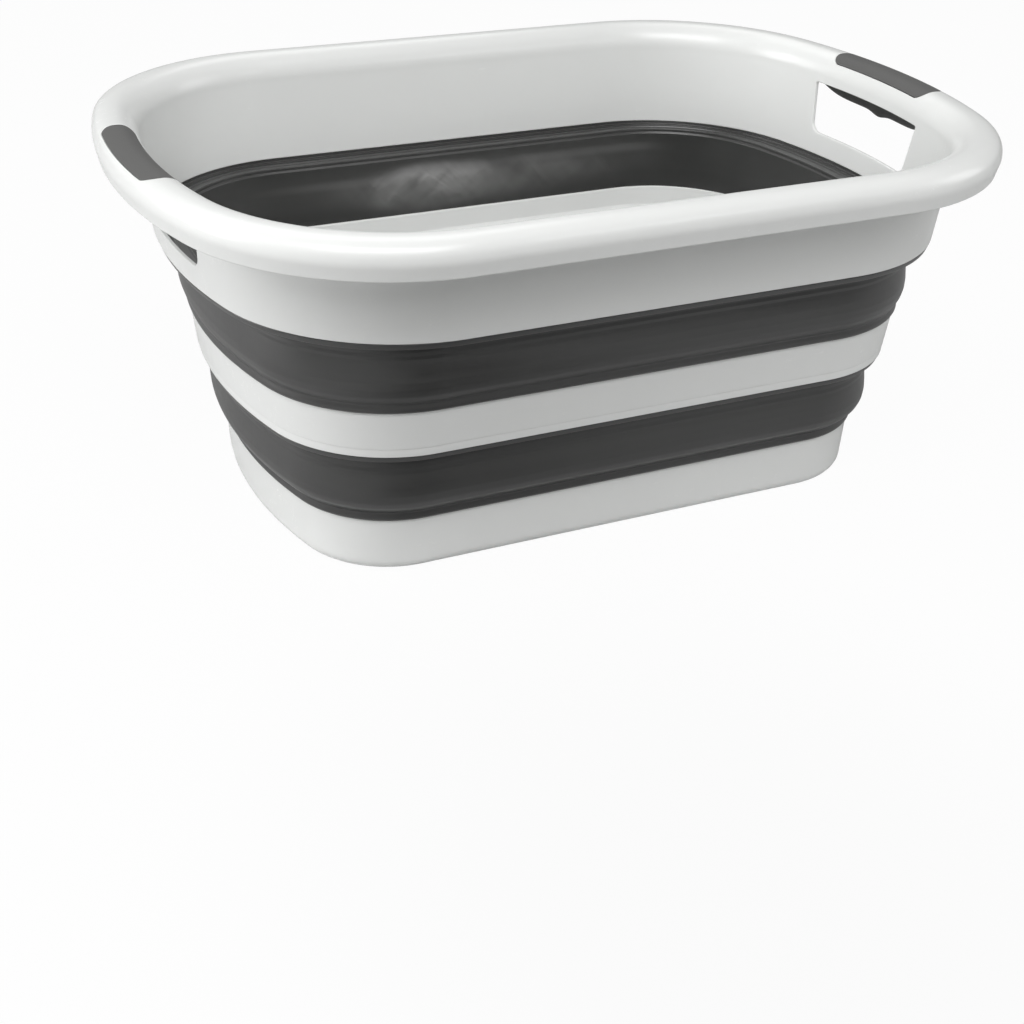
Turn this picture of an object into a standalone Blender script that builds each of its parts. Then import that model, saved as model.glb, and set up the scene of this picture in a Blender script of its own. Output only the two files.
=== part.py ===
"""Collapsible laundry tub, modelled open.

Three stiff shells (upper shell with its rolled rim, middle ring, base tray) hang on two soft
fold bands. Each band turns inside out when the shell above it is pushed down, so the open tub
nests into a flat one. Lengths are in metres. The tub stands on z = 0 with its length along X.
"""

import math

import bmesh
import bpy
import numpy as np

MM = 0.001

# Size over the outside of the rim
RIM_LENGTH = 600 * MM
RIM_WIDTH = 430 * MM

# Plan of the tub: straight sides, bowed ends, corners that tighten towards the base
END_BOW_RADIUS = 420 * MM
RIM_CORNER_RADIUS = 144 * MM
FOOT_CORNER_RADIUS = 122 * MM
BAND_CORNER_RADIUS = 95 * MM
RING_CORNER_RADIUS = 91 * MM
BASE_CORNER_RADIUS = 68 * MM

# Heights, from the floor up; the upper band takes what the stiff pieces leave of the whole
OPEN_HEIGHT = 255 * MM
BASE_HEIGHT = 39.5 * MM
LOWER_BAND_HEIGHT = 54.5 * MM
RING_HEIGHT = 32.5 * MM
UPPER_WALL_HEIGHT = 57 * MM
ROLL_HEIGHT = 18 * MM
LIP_DROP = 4 * MM

# Insets, each counted inwards from the surface above it
ROLL_WIDTH = 30.8 * MM
UPPER_WALL_DRAFT = 5.8 * MM
UPPER_LEDGE = 17.5 * MM
RING_STEP = 21 * MM
RING_DRAFT = 4 * MM
LOWER_LEDGE = 10.5 * MM
BASE_STEP = 18 * MM
BASE_DRAFT = 2 * MM

# Walls and the clearance between pieces that are bonded or seated on each other
SHELL_WALL = 2.6 * MM
BAND_WALL = 2 * MM
EDGE_ROUND = 0.6 * MM
SEAM = 0.3 * MM

# Edges of the soft bands: the lip under a shell's foot, the curb behind it, and the bead
# that holds the top edge of the next shell
LIP_HEIGHT = 4.2 * MM
LIP_WIDTH = 6 * MM
LIP_ROUND = 1.2 * MM
SHOULDER_RADIUS = 2.5 * MM
LEDGE_DROP = 1.6 * MM
CURB_WALL = 2 * MM
BEAD_HEIGHT = 4.2 * MM
BEAD_WALL = 1.5 * MM
HEAD_OVERLAP = 6 * MM
INNER_LEG_HEIGHT = 1.5 * MM
BAND_TURN_HEIGHT = 9.5 * MM
BAND_TURN_RADIUS = 7 * MM
BAND_CREASE_HEIGHT = 16 * MM
BAND_SWELL = 1.2 * MM
CREASE_DEPTH = 0.8 * MM

# Middle ring: the stiffening ridge inside and the fine line round its outside
RIDGE_DROP = 14 * MM
RIDGE_PROUD = 1.6 * MM
RIDGE_ROUND = 1.5 * MM
LINE_HEIGHT = 5 * MM
LINE_WIDTH = 0.8 * MM
LINE_DEPTH = 0.35 * MM

# Base tray
BASE_FILLET = 8 * MM
FLOOR_THICKNESS = 2.8 * MM
FOOT_RING_WIDTH = 14 * MM
FOOT_RING_HEIGHT = 1.2 * MM

# Handle windows in the end walls
WINDOW_SILL = 16 * MM
WINDOW_TOP_GAP = 4 * MM
WINDOW_TOP_WIDTH = 125 * MM
WINDOW_SILL_WIDTH = 114 * MM
WINDOW_CORNER_RADIUS = 9 * MM

# Grip pads, let into the top of the rim
PAD_LENGTH = 111 * MM
PAD_WIDTH = 22 * MM
PAD_CORNER_RADIUS = 9 * MM
PAD_THICKNESS = 1.1 * MM
RECESS_RISE = 1 * MM

# Grip liners: soft troughs that close the hollow of the rim above each window
LINER_LENGTH = 126 * MM
LINER_WALL = 1.8 * MM
LINER_HANG = 9.5 * MM
LINER_END_HANG = 2 * MM
LINER_BUMP = 2.5 * MM
LINER_BUMP_LENGTH = 24 * MM
LINER_KEEL_INSET = 20.5 * MM
LINER_TUCK = math.radians(30)

# Facets
SIDE_STEPS = 1
CORNER_STEPS = 7
END_STEPS = 5
ROLL_STEPS = 10
PAD_STEPS = 8
LINER_STEPS = 12
KEEL_STEPS = 6
FACET_RADIUS = 2.5 * MM
LEAST_REACH = 0.05 * MM

WHITE_SHELL = (0.80, 0.81, 0.80)
FOLD_GREY = (0.075, 0.073, 0.070)
PAD_GREY = (0.115, 0.113, 0.108)

# Levels that follow from the sizes above
Z_BASE_HEAD = BASE_HEIGHT
Z_RING_FOOT = Z_BASE_HEAD + LOWER_BAND_HEIGHT
Z_RING_HEAD = Z_RING_FOOT + RING_HEIGHT
Z_ROLL = OPEN_HEIGHT - ROLL_HEIGHT
Z_LIP = Z_ROLL - LIP_DROP
Z_FOOT = Z_ROLL - UPPER_WALL_HEIGHT

FOOT_INSET = ROLL_WIDTH - SHELL_WALL + UPPER_WALL_DRAFT
RING_HEAD_INSET = FOOT_INSET + RING_STEP
RING_FOOT_INSET = RING_HEAD_INSET + RING_DRAFT
BASE_HEAD_INSET = RING_FOOT_INSET + BASE_STEP
BASE_FOOT_INSET = BASE_HEAD_INSET + BASE_DRAFT


def clear_scene():
    for thing in list(bpy.data.objects):
        bpy.data.objects.remove(thing)


def new_collection(name):
    collection = bpy.data.collections.new(name)
    bpy.context.scene.collection.children.link(collection)
    return collection


def moulding(name, colour, roughness):
    """Material of one moulded piece."""
    material = bpy.data.materials.new(name)
    material.use_nodes = True
    material.diffuse_color = (*colour, 1.0)
    shader = material.node_tree.nodes["Principled BSDF"]
    shader.inputs["Base Color"].default_value = (*colour, 1.0)
    shader.inputs["Roughness"].default_value = roughness
    shader.inputs["Metallic"].default_value = 0.0
    return material


def corner_radius(inset):
    """Corner radius of the plan at an inset: it follows the shells down, then shrinks evenly."""
    insets = [0, FOOT_INSET, FOOT_INSET + UPPER_LEDGE, RING_HEAD_INSET, BASE_HEAD_INSET]
    radii = [RIM_CORNER_RADIUS, FOOT_CORNER_RADIUS, BAND_CORNER_RADIUS, RING_CORNER_RADIUS,
             BASE_CORNER_RADIUS]
    return np.interp(inset, insets, radii) - max(0.0, inset - BASE_HEAD_INSET)


def end_x(inset, y):
    """Distance of a bowed end from the middle of the tub, at y across it."""
    bow = END_BOW_RADIUS - inset
    return RIM_LENGTH / 2 - END_BOW_RADIUS + math.sqrt(bow * bow - y * y)


def outline(inset):
    """Closed plan outline at an inset from the outside of the rim.

    One quarter is an arc of the bowed end, a corner arc tangent to it and to the side, and the
    straight side. The other quarters are its mirror images.
    """
    corner = corner_radius(inset)
    bow = END_BOW_RADIUS - inset
    bow_x = RIM_LENGTH / 2 - END_BOW_RADIUS
    corner_y = RIM_WIDTH / 2 - inset - corner
    corner_x = bow_x + math.sqrt((bow - corner) ** 2 - corner_y ** 2)
    turn = math.atan2(corner_y, corner_x - bow_x)
    end = np.linspace(0, turn, END_STEPS, endpoint=False)
    bend = np.linspace(turn, math.pi / 2, CORNER_STEPS, endpoint=False)
    side_x = np.linspace(corner_x, 0, SIDE_STEPS + 1)
    quarter = np.vstack([
        np.column_stack([bow_x + bow * np.cos(end), bow * np.sin(end)]),
        np.column_stack([corner_x + corner * np.cos(bend), corner_y + corner * np.sin(bend)]),
        np.column_stack([side_x, np.full(len(side_x), corner_y + corner)]),
    ])
    back = quarter[::-1]
    return np.vstack([quarter[:-1], (back * [-1, 1])[:-1], (-quarter)[:-1], (back * [1, -1])[:-1]])


def rounded(corners):
    """Profile of (inset, height) points from corners of (inset, height, radius), as a closed loop.

    Each corner with a radius becomes an arc tangent to both its edges, with a facet more for
    every FACET_RADIUS of it.
    """
    points = []
    count = len(corners)
    for index, (inset, height, radius) in enumerate(corners):
        here = np.array([inset, height])
        before = np.array(corners[index - 1][:2]) - here
        after = np.array(corners[(index + 1) % count][:2]) - here
        before_length = np.linalg.norm(before)
        after_length = np.linalg.norm(after)
        before = before / before_length
        after = after / after_length
        half_angle = math.acos(max(-1.0, min(1.0, float(before @ after)))) / 2
        reach = min(radius / math.tan(half_angle), 0.49 * before_length, 0.49 * after_length)
        if reach < LEAST_REACH:
            points.append(here)
            continue
        steps = 1 + int(radius / FACET_RADIUS)
        start = here + before * reach
        stop = here + after * reach
        centre = here + (before + after) / np.linalg.norm(before + after) * reach / math.cos(half_angle)
        first = start - centre
        last = stop - centre
        span = math.atan2(first[0] * last[1] - first[1] * last[0], float(first @ last))
        for angle in np.linspace(0, span, steps + 1):
            spin = np.array([[math.cos(angle), -math.sin(angle)], [math.sin(angle), math.cos(angle)]])
            points.append(centre + spin @ first)
    return points


def add_object(name, mesh, collection, material=None):
    piece = bpy.data.objects.new(name, mesh)
    collection.objects.link(piece)
    if material:
        mesh.materials.append(material)
        mesh.shade_smooth()
        mesh.set_sharp_from_angle(angle=math.radians(40))
    return piece


def skin(name, sections, closed_round, closed_along):
    """Mesh through unlike sections with equal numbers of points.

    closed_round joins each section's last point to its first. closed_along joins the last
    section to the first; without it the first and last sections are filled.
    """
    mesh = bpy.data.meshes.new(name)
    build = bmesh.new()
    rows = [[build.verts.new(point) for point in section] for section in sections]
    width = len(rows[0])
    for row in range(len(rows) if closed_along else len(rows) - 1):
        this, following = rows[row], rows[(row + 1) % len(rows)]
        for column in range(width if closed_round else width - 1):
            beside = (column + 1) % width
            build.faces.new((this[column], this[beside], following[beside], following[column]))
    if not closed_along:
        build.faces.new(rows[0])
        build.faces.new(rows[-1])
    bmesh.ops.recalc_face_normals(build, faces=build.faces)
    build.to_mesh(mesh)
    build.free()
    return mesh


def ring_section(inset, height):
    """Outline at an inset, laid at a height."""
    plan = outline(inset)
    return [(x, y, height) for x, y in plan]


def ring_mesh(name, profile):
    """Hollow ring: a closed profile of (inset, height) carried round the tub."""
    return skin(name, [ring_section(inset, height) for inset, height in profile], True, True)


def tray_mesh(name, profile):
    """Tray: an open profile that starts and ends on a flat floor."""
    return skin(name, [ring_section(inset, height) for inset, height in profile], True, False)


def prism(name, face_points, push, collection):
    """Cutter: a flat face pushed along a vector."""
    mesh = bpy.data.meshes.new(name)
    build = bmesh.new()
    face = build.faces.new([build.verts.new(point) for point in face_points])
    pushed = bmesh.ops.extrude_face_region(build, geom=[face])
    moved = [item for item in pushed["geom"] if isinstance(item, bmesh.types.BMVert)]
    bmesh.ops.translate(build, verts=moved, vec=push)
    bmesh.ops.recalc_face_normals(build, faces=build.faces)
    build.to_mesh(mesh)
    build.free()
    return as_guide(add_object(name, mesh, collection))


def as_guide(piece):
    piece.hide_render = True
    piece.display_type = "WIRE"
    return piece


def combine(piece, tool, operation):
    """Boolean between a piece and a cutter."""
    modifier = piece.modifiers.new(tool.name, "BOOLEAN")
    modifier.operation = operation
    modifier.solver = "EXACT"
    modifier.object = tool


def roll_point(angle, depth):
    """(inset, height) on the rim's roll, from the inner shoulder at 0 to the lip at pi."""
    middle = ROLL_WIDTH / 2
    inset = middle + (middle - depth) * math.cos(angle)
    return inset, Z_ROLL + (ROLL_HEIGHT - depth) * math.sin(angle)


def wall_inset(height, depth):
    """Inset of the upper shell's wall at a height, depth 0 being its outer face."""
    share = (Z_ROLL - height) / UPPER_WALL_HEIGHT
    return ROLL_WIDTH - SHELL_WALL + UPPER_WALL_DRAFT * share + depth


def upper_shell_profile():
    """Wall and rim in one moulding: up the inside, over the roll, down the lip and back under."""
    angles = np.linspace(0, math.pi, ROLL_STEPS + 1)
    over = [roll_point(angle, 0) for angle in angles]
    under = [roll_point(angle, SHELL_WALL) for angle in angles[::-1]]
    edge = SHELL_WALL / 4
    lip = [
        (0, Z_LIP + edge),
        (edge, Z_LIP),
        (SHELL_WALL - edge, Z_LIP),
        (SHELL_WALL, Z_LIP + edge),
    ]
    foot = [
        (FOOT_INSET, Z_FOOT),
        (FOOT_INSET + SHELL_WALL, Z_FOOT),
    ]
    return over + lip + under + foot


def fold_band_profile(foot_inset, foot_height, ledge, head_inset, head_height):
    """Soft band between a shell's foot and the head of the next shell down.

    It starts at the flush lip under the foot, steps in along the ledge, hangs down its wall,
    turns in to the bead that clasps the next shell's head, and comes back up the inside.
    """
    wall = foot_inset + ledge
    seat = foot_height - SEAM
    ledge_top = seat - LEDGE_DROP
    head_top = head_height + HEAD_OVERLAP
    bead = head_inset - SEAM - BEAD_WALL
    slot_in = head_inset + SHELL_WALL + SEAM
    curb = foot_inset + SHELL_WALL + SEAM
    bend = head_height + BAND_TURN_HEIGHT
    crease = head_height + BAND_CREASE_HEIGHT
    return rounded([
        (foot_inset, seat, 0),
        (foot_inset, seat - LIP_HEIGHT, LIP_ROUND),
        (foot_inset + LIP_WIDTH, seat - LIP_HEIGHT, LIP_ROUND),
        (foot_inset + LIP_WIDTH + CREASE_DEPTH, ledge_top - BAND_WALL, 0),
        (wall, ledge_top - BAND_WALL, SHOULDER_RADIUS),
        (wall - BAND_SWELL, crease + CREASE_DEPTH, 0),
        (wall - BAND_SWELL + CREASE_DEPTH / 2, crease, 0),
        (wall - BAND_SWELL, bend, BAND_TURN_RADIUS),
        (bead + CREASE_DEPTH, head_height + BEAD_HEIGHT + CREASE_DEPTH, 0),
        (bead, head_height + BEAD_HEIGHT, 0),
        (bead, head_height, EDGE_ROUND),
        (head_inset - SEAM, head_height, 0),
        (head_inset - SEAM, head_top + SEAM, 0),
        (slot_in, head_top + SEAM, 0),
        (slot_in, head_top - INNER_LEG_HEIGHT, 0),
        (slot_in + BEAD_WALL, head_top - INNER_LEG_HEIGHT, 0),
        (slot_in + BEAD_WALL, head_top + SEAM + BAND_WALL, LIP_ROUND),
        (wall - BAND_SWELL + BAND_WALL, bend + BAND_WALL, BAND_TURN_RADIUS),
        (wall - BAND_SWELL + BAND_WALL, crease, 0),
        (wall + BAND_WALL, ledge_top, SHOULDER_RADIUS + BAND_WALL),
        (curb + CURB_WALL, ledge_top, 0),
        (curb + CURB_WALL, foot_height, 0),
        (curb, foot_height, 0),
        (curb, seat, 0),
    ])


def middle_ring_profile():
    """Stiff ring: drafted outside with one fine line, a ridge inside below its head."""
    head_top = Z_RING_HEAD + HEAD_OVERLAP
    slope = RING_DRAFT / RING_HEIGHT
    ridge = Z_RING_HEAD - RIDGE_DROP

    def face(height):
        return RING_HEAD_INSET + slope * (Z_RING_HEAD - height)

    line = Z_RING_FOOT + LINE_HEIGHT
    return rounded([
        (RING_HEAD_INSET, head_top, EDGE_ROUND),
        (RING_HEAD_INSET, Z_RING_HEAD, 0),
        (face(line + LINE_WIDTH), line + LINE_WIDTH, 0),
        (face(line) + LINE_DEPTH, line + LINE_WIDTH / 2, 0),
        (face(line), line, 0),
        (RING_FOOT_INSET, Z_RING_FOOT, 0),
        (RING_FOOT_INSET + SHELL_WALL, Z_RING_FOOT, 0),
        (face(ridge) + SHELL_WALL + RIDGE_PROUD, ridge, RIDGE_ROUND),
        (RING_HEAD_INSET + SHELL_WALL, head_top - INNER_LEG_HEIGHT - SEAM, 0),
        (RING_HEAD_INSET + SHELL_WALL, head_top, EDGE_ROUND),
    ])


def arc(centre, radius, first, last, steps):
    """Points of a section arc, its angles in degrees from the inward direction."""
    angles = np.radians(np.linspace(first, last, steps + 1))
    return [(centre[0] + radius * math.cos(a), centre[1] + radius * math.sin(a)) for a in angles]


def base_tray_profile():
    """Tray with a rounded bottom edge, standing on a low foot ring round its floor."""
    head_top = Z_BASE_HEAD + HEAD_OVERLAP
    slope = BASE_DRAFT / BASE_HEIGHT
    outer = (BASE_FOOT_INSET - slope * BASE_FILLET + BASE_FILLET, BASE_FILLET)
    inner_radius = BASE_FILLET - SHELL_WALL
    inner = (outer[0], FLOOR_THICKNESS + inner_radius)
    ring_edge = outer[0] + FOOT_RING_WIDTH
    return (
        [(ring_edge + FOOT_RING_HEIGHT, FOOT_RING_HEIGHT), (ring_edge, 0)]
        + arc(outer, BASE_FILLET, 270, 180, 4)
        + [(BASE_HEAD_INSET, Z_BASE_HEAD), (BASE_HEAD_INSET, head_top)]
        + [(BASE_HEAD_INSET + SHELL_WALL, head_top)]
        + [(BASE_HEAD_INSET + SHELL_WALL, Z_BASE_HEAD)]
        + arc(inner, inner_radius, 180, 270, 4)
    )


def divided(points, longest):
    """Closed loop of points whose edges are cut into equal parts, none longer than a length."""
    result = []
    for here, following in zip(points, points[1:] + points[:1]):
        count = math.ceil(np.linalg.norm(following - here) / longest)
        result += [here + (following - here) * part / count for part in range(count)]
    return result


def pad_outline(side, grow):
    """Plan of a grip pad: a strip of the roll with rounded corners, bowed with the rim's end."""
    half_long = PAD_LENGTH / 2 + grow
    outer = (ROLL_WIDTH - PAD_WIDTH) / 2 - grow
    inner = (ROLL_WIDTH + PAD_WIDTH) / 2 + grow
    corner = PAD_CORNER_RADIUS + grow
    strip = rounded([
        (outer, -half_long, corner),
        (outer, half_long, corner),
        (inner, half_long, corner),
        (inner, -half_long, corner),
    ])
    bowed = divided(strip, PAD_LENGTH / PAD_STEPS)
    return [(side * end_x(inset, y), y, Z_ROLL) for inset, y in bowed]


def roll_skin(name, side, top_depth, bottom_depth):
    """Piece of the roll's wall at one end of the rim, between two depths under its surface."""
    angles = np.linspace(0, math.pi, ROLL_STEPS + 1)[1:-1]
    section = [roll_point(angle, top_depth) for angle in angles]
    section += [roll_point(angle, bottom_depth) for angle in angles[::-1]]
    half = PAD_LENGTH / 2 + PAD_CORNER_RADIUS
    rows = []
    for y in np.linspace(-half, half, PAD_STEPS + 1):
        rows.append([(side * end_x(inset, y), y, height) for inset, height in section])
    return skin(name, rows, True, False)


def grip_pad(prefix, side, parts, cutters, shell, material):
    """Soft pad flush with the top of the rim, and the recess that it sits in."""
    lift = (0, 0, 2 * ROLL_HEIGHT)
    mesh = roll_skin(prefix + "_grip_pad", side, 0, PAD_THICKNESS)
    pad = add_object(prefix + "_grip_pad", mesh, parts, material)
    combine(pad, prism(prefix + "_pad_plan", pad_outline(side, 0), lift, cutters), "INTERSECT")
    recess_mesh = roll_skin(prefix + "_pad_recess", side, -RECESS_RISE, PAD_THICKNESS + SEAM)
    recess = as_guide(add_object(prefix + "_pad_recess", recess_mesh, cutters))
    plan = prism(prefix + "_recess_plan", pad_outline(side, SEAM), lift, cutters)
    combine(recess, plan, "INTERSECT")
    combine(shell, recess, "DIFFERENCE")
    return pad


def window_outline(side):
    """Handle window in an end wall: wider at the top, its two lower corners rounded."""
    top = Z_ROLL - WINDOW_TOP_GAP
    sill = Z_FOOT + WINDOW_SILL
    x = side * end_x(ROLL_WIDTH / 2, 0)
    corners = [
        (-WINDOW_TOP_WIDTH / 2, top, 0),
        (WINDOW_TOP_WIDTH / 2, top, 0),
        (WINDOW_SILL_WIDTH / 2, sill, WINDOW_CORNER_RADIUS),
        (-WINDOW_SILL_WIDTH / 2, sill, WINDOW_CORNER_RADIUS),
    ]
    return [(x, y, z) for y, z in rounded(corners)]


def liner_hang(y):
    """How far the liner's keel hangs below the window's top, at y along it."""
    along = abs(y) / (LINER_LENGTH / 2)
    swell = LINER_END_HANG + (LINER_HANG - LINER_END_HANG) * (1 - along ** 6)
    return swell + LINER_BUMP * math.exp(-(4 * y / LINER_BUMP_LENGTH) ** 2 / 2)


def keel_point(angle, depth, top, hang):
    """(inset, height) on the liner's trough, from the wall side at 0 over the keel to the lip side.

    It is two quarter ellipses that meet at the keel, which lies nearer the wall than the lip.
    """
    wall_side = ROLL_WIDTH - depth - LINER_KEEL_INSET
    lip_side = LINER_KEEL_INSET - depth
    reach = wall_side if angle < math.pi / 2 else lip_side
    drop = hang + SHELL_WALL + SEAM - depth
    return LINER_KEEL_INSET + reach * math.cos(angle), top - drop * math.sin(angle)


def liner_skin_path(depth, top, hang):
    """Path down from under the roll, round the keel and up under the roll's lip side."""
    turns = np.linspace(0, math.pi, KEEL_STEPS + 1)
    return (
        [roll_point(LINER_TUCK, depth), roll_point(0, depth)]
        + [keel_point(angle, depth, top, hang) for angle in turns]
        + [roll_point(math.pi, depth), roll_point(math.pi - LINER_TUCK, depth)]
    )


def grip_liner(prefix, side, parts, material):
    """Soft trough under the rim above a window, tucked up inside the roll at both its edges."""
    top = Z_ROLL - WINDOW_TOP_GAP
    near = SHELL_WALL + SEAM
    rows = []
    for y in np.linspace(-LINER_LENGTH / 2, LINER_LENGTH / 2, LINER_STEPS + 1):
        hang = liner_hang(y)
        section = liner_skin_path(near, top, hang)
        section += liner_skin_path(near + LINER_WALL, top, hang)[::-1]
        rows.append([(side * end_x(inset, y), y, height) for inset, height in section])
    mesh = skin(prefix + "_grip_liner", rows, True, False)
    return add_object(prefix + "_grip_liner", mesh, parts, material)


def main():
    clear_scene()
    parts = new_collection("Collapsible tub")
    cutters = new_collection("Cutters")

    def ring(name, profile, colour, roughness):
        return add_object(name, ring_mesh(name, profile), parts, moulding(name, colour, roughness))

    shell = ring("upper_shell", upper_shell_profile(), WHITE_SHELL, 0.22)
    ring("upper_fold_band",
         fold_band_profile(FOOT_INSET, Z_FOOT, UPPER_LEDGE, RING_HEAD_INSET, Z_RING_HEAD),
         FOLD_GREY, 0.42)
    ring("middle_ring", middle_ring_profile(), WHITE_SHELL, 0.25)
    ring("lower_fold_band",
         fold_band_profile(RING_FOOT_INSET, Z_RING_FOOT, LOWER_LEDGE, BASE_HEAD_INSET, Z_BASE_HEAD),
         FOLD_GREY, 0.42)
    tray = tray_mesh("base_tray", base_tray_profile())
    add_object("base_tray", tray, parts, moulding("base_tray", WHITE_SHELL, 0.25))

    for prefix, side in (("left", -1), ("right", 1)):
        through = (side * (end_x(3 * ROLL_WIDTH, 0) - end_x(ROLL_WIDTH / 2, 0)), 0, 0)
        combine(shell, prism(prefix + "_window", window_outline(side), through, cutters), "DIFFERENCE")
        grip_pad(prefix, side, parts, cutters, shell, moulding(prefix + "_grip_pad", PAD_GREY, 0.6))
        grip_liner(prefix, side, parts, moulding(prefix + "_grip_liner", FOLD_GREY, 0.5))


main()
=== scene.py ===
import math

import bmesh
import bpy
import numpy as np
from mathutils import Matrix, Vector


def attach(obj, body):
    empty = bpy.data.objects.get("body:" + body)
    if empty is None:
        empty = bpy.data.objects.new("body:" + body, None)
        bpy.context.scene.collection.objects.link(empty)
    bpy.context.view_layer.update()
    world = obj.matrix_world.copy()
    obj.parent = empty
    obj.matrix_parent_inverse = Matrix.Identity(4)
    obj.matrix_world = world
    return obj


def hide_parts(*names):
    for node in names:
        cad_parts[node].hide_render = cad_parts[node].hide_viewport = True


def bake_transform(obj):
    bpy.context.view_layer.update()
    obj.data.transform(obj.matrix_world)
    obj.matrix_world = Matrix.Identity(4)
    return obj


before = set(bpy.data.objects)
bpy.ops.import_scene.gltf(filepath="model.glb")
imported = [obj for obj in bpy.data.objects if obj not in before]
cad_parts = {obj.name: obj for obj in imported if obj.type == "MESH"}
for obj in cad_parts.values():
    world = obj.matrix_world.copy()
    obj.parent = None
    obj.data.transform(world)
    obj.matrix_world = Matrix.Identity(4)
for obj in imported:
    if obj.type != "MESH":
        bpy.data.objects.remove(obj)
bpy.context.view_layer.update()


# Base tray. The lowest of the three stiff pieces, injection moulded in glossy white
# polypropylene with a rounded bottom edge. The tub stands on the low ring round its underside,
# and its top edge is bonded into the lower soft band.

MM = 0.001
RIM_LENGTH = 600 * MM
RIM_WIDTH = 430 * MM
END_BOW_RADIUS = 420 * MM
BOW_X = RIM_LENGTH / 2 - END_BOW_RADIUS
CORNER_INSETS = np.array([0, 34, 51.5, 55, 77]) * MM
CORNER_RADII = np.array([144, 122, 95, 91, 68]) * MM

COLUMN_WIDTH = 2 * MM
END_COLUMNS = 38
BOW_COLUMNS = 4
CORNER_COLUMNS = 34
SIDE_COLUMNS = 20
QUARTER = END_COLUMNS + BOW_COLUMNS + CORNER_COLUMNS + SIDE_COLUMNS
ROUND = 4 * QUARTER

SHELL_WALL = 2.6 * MM
SHARP = 0.2 * MM
ARC_STEPS = 6
LONGEST_STEP = 2.5 * MM
LEG_SHARE = 0.48
SMALLEST_TURN = 1e-4
TINY = 1e-9
MERGE_DISTANCE = 2e-6
NO_LENGTH = 1e-7

FLOOR_CROWN = 0.35 * MM
FLOOR_RINGS = 26
GATE_RADIUS = 5 * MM
GATE_DEPTH = 0.5 * MM

# In millimetres, as the corners of every section are.
WALL = SHELL_WALL / MM
TRAY_HEAD = 39.5
TRAY_HEAD_INSET = 77
HEAD_LAP = 4
TRAY_FOOT_INSET = 79
TRAY_FILLET = 8
FOOT_RING_INSET = 100.6
UNDERSIDE = 1.2
FLOOR_TOP = 2.8
FLOOR_INSET = 81.5
FLOOR_FILLET = 5.4


def end_x(inset, y):
    """Distance of the bowed end from the middle: the bow's centre plus the root of
    (bow radius squared less y squared)."""
    return BOW_X + np.sqrt((END_BOW_RADIUS - inset) ** 2 - y ** 2)


def plan(inset):
    """Outlines of the tub at the given insets, as x and y arrays with one row per inset.

    A quarter runs from the middle of the right end along the bow, first in columns of equal y,
    then in equal angles, then round the corner circle that touches bow and side, then along the
    straight side. The other three quarters are its mirror images.
    """
    inset = np.asarray(inset, float).reshape(-1, 1)
    corner = np.interp(inset, CORNER_INSETS, CORNER_RADII)
    corner = corner - np.maximum(0, inset - CORNER_INSETS[-1])
    bow = END_BOW_RADIUS - inset
    corner_y = RIM_WIDTH / 2 - inset - corner
    corner_x = BOW_X + np.sqrt((bow - corner) ** 2 - corner_y ** 2)
    turn = np.arctan2(corner_y, corner_x - BOW_X)
    level = np.arange(END_COLUMNS + 1) * COLUMN_WIDTH + 0 * inset
    first = np.arcsin(level[:, -1:] / bow)
    bowed = first + (turn - first) * np.linspace(0, 1, BOW_COLUMNS + 1)[1:]
    rounding = turn + (math.pi / 2 - turn) * np.linspace(0, 1, CORNER_COLUMNS + 1)[1:]
    straight = np.linspace(1, 0, SIDE_COLUMNS + 1)[1:]
    x = np.hstack([
        end_x(inset, level),
        BOW_X + bow * np.cos(bowed),
        corner_x + corner * np.cos(rounding),
        corner_x * straight,
    ])
    y = np.hstack([
        level,
        bow * np.sin(bowed),
        corner_y + corner * np.sin(rounding),
        corner_y + corner + 0 * straight,
    ])
    x = np.hstack([x, -x[:, -2::-1], -x[:, 1:], x[:, -2:0:-1]])
    y = np.hstack([y, y[:, -2::-1], -y[:, 1:], -y[:, -2:0:-1]])
    return x, y


def corner_legs(points):
    """For each corner of a path the directions back and ahead along its two legs, half the
    angle between them, and the length of the shorter leg."""
    back = np.roll(points, 1, axis=0) - points
    ahead = np.roll(points, -1, axis=0) - points
    back_length = np.linalg.norm(back, axis=1)
    ahead_length = np.linalg.norm(ahead, axis=1)
    back /= back_length[:, None]
    ahead /= ahead_length[:, None]
    half = np.arccos(np.clip((back * ahead).sum(axis=1), -1, 1)) / 2
    half = np.minimum(half, math.pi / 2 - SMALLEST_TURN)
    return back, ahead, half, np.minimum(back_length, ahead_length)


def corner_arcs(points, back, ahead, half, reach, steps):
    """Arcs that round the corners of a path, as (corner, step, coordinate).

    An arc touches both legs at its reach from the corner. Its centre lies on the line that
    halves the corner, reach divided by the cosine of the half angle away, and its points turn
    evenly about it: sine((1 - share) of the swing) of its start plus sine(share of the swing)
    of its end, divided by the sine of the swing.
    """
    middle = back + ahead
    middle /= np.maximum(np.linalg.norm(middle, axis=1), TINY)[:, None]
    centre = points + middle * (reach / np.cos(half))[:, None]
    swing = (math.pi - 2 * half)[:, None, None]
    share = np.linspace(0, 1, steps + 1)[None, :, None]
    start = (points + back * reach[:, None] - centre)[:, None, :]
    stop = (points + ahead * reach[:, None] - centre)[:, None, :]
    turned = np.sin((1 - share) * swing) * start + np.sin(share * swing) * stop
    return centre[:, None, :] + turned / np.sin(swing)


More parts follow.
